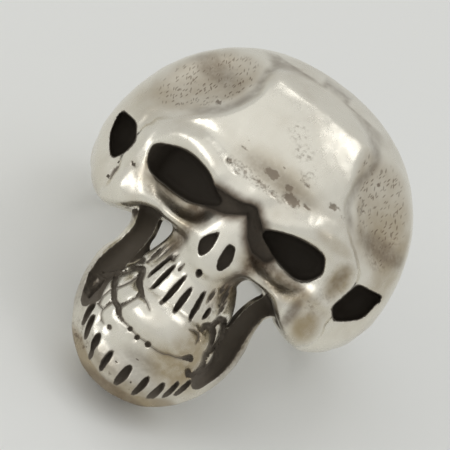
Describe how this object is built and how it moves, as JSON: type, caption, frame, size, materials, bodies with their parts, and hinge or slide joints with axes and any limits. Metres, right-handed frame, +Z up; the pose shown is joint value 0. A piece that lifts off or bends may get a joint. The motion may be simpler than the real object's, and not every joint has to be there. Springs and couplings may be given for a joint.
{
  "type": "skull ring",
  "caption": "Heavy cast finger ring shaped as a skull with a hanging lower jaw, clenched teeth, deep eye sockets and a plain tapering band.",
  "frame": {"origin": "middle of the bounding box's base, on the surface the ring rests on", "axes": "+X across the face to the viewer's right, +Y from the face to the back of the band, +Z up; the ring lies back on its chin and the band's lower edge"},
  "size_m": [0.0268, 0.035, 0.0262],
  "materials": {
    "oxidised_silver": "worn polish over blackened recesses"
  },
  "bodies": {
    "root": {"skull_ring": "oxidised_silver"}
  },
  "joints": []
}
